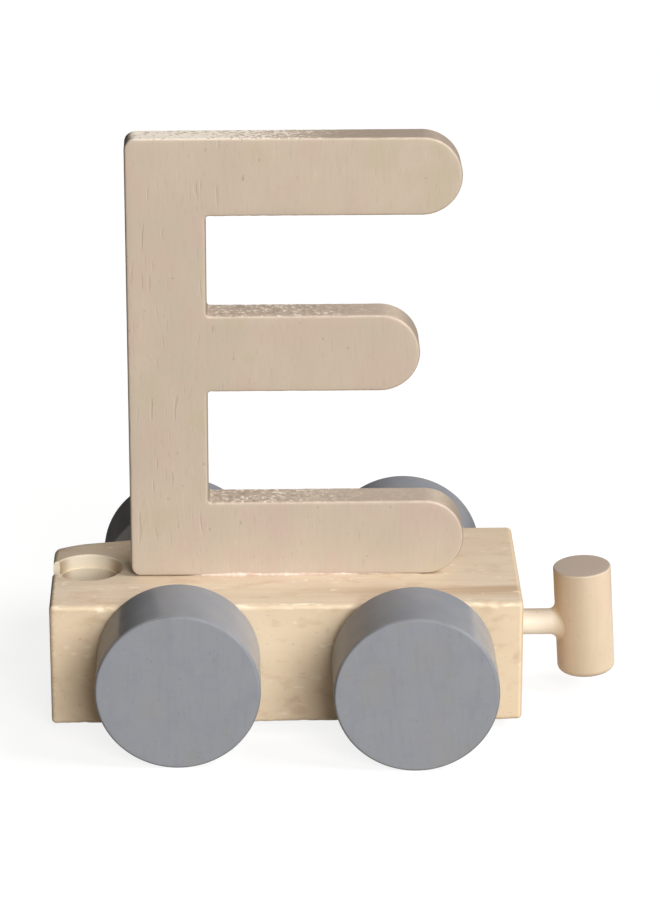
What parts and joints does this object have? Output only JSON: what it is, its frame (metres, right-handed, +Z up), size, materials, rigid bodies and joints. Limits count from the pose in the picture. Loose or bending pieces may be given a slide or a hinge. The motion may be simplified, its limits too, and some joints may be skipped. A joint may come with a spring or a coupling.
{
  "type": "letter train car",
  "caption": "Wooden toy train car: an upright capital E on a block with plain grey disc wheels, an upright coupling peg at the front and a slotted socket for the next car's peg.",
  "frame": {"origin": "on the ground, under the middle of the overall box", "axes": "+X to the front, where the coupling peg is; +Z up; the letter reads the right way round from -Y"},
  "size_m": [0.085, 0.0568, 0.0887],
  "materials": {
    "natural_wood": "satin",
    "dowel_wood": "satin",
    "taupe_paint": "satin",
    "grey_paint": "satin"
  },
  "bodies": {
    "car": {"base": "natural_wood", "letter": "taupe_paint", "letter_dowel_rear": "dowel_wood", "letter_dowel_front": "dowel_wood", "coupling_dowel": "dowel_wood", "coupling_peg": "natural_wood"},
    "rear_wheelset": {"rear_axle": "dowel_wood", "rear_left_wheel": "grey_paint", "rear_right_wheel": "grey_paint"},
    "front_wheelset": {"front_axle": "dowel_wood", "front_left_wheel": "grey_paint", "front_right_wheel": "grey_paint"}
  },
  "joints": [
    {"name": "rear_wheelset_spin", "type": "hinge", "parent": "car", "child": "rear_wheelset", "pos_m": [-0.02353, 0.0009, 0.0121], "axis": [0, 1, 0], "continuous": true},
    {"name": "front_wheelset_spin", "type": "hinge", "parent": "car", "child": "front_wheelset", "pos_m": [0.01117, 0.0009, 0.0121], "axis": [0, 1, 0], "continuous": true}
  ]
}
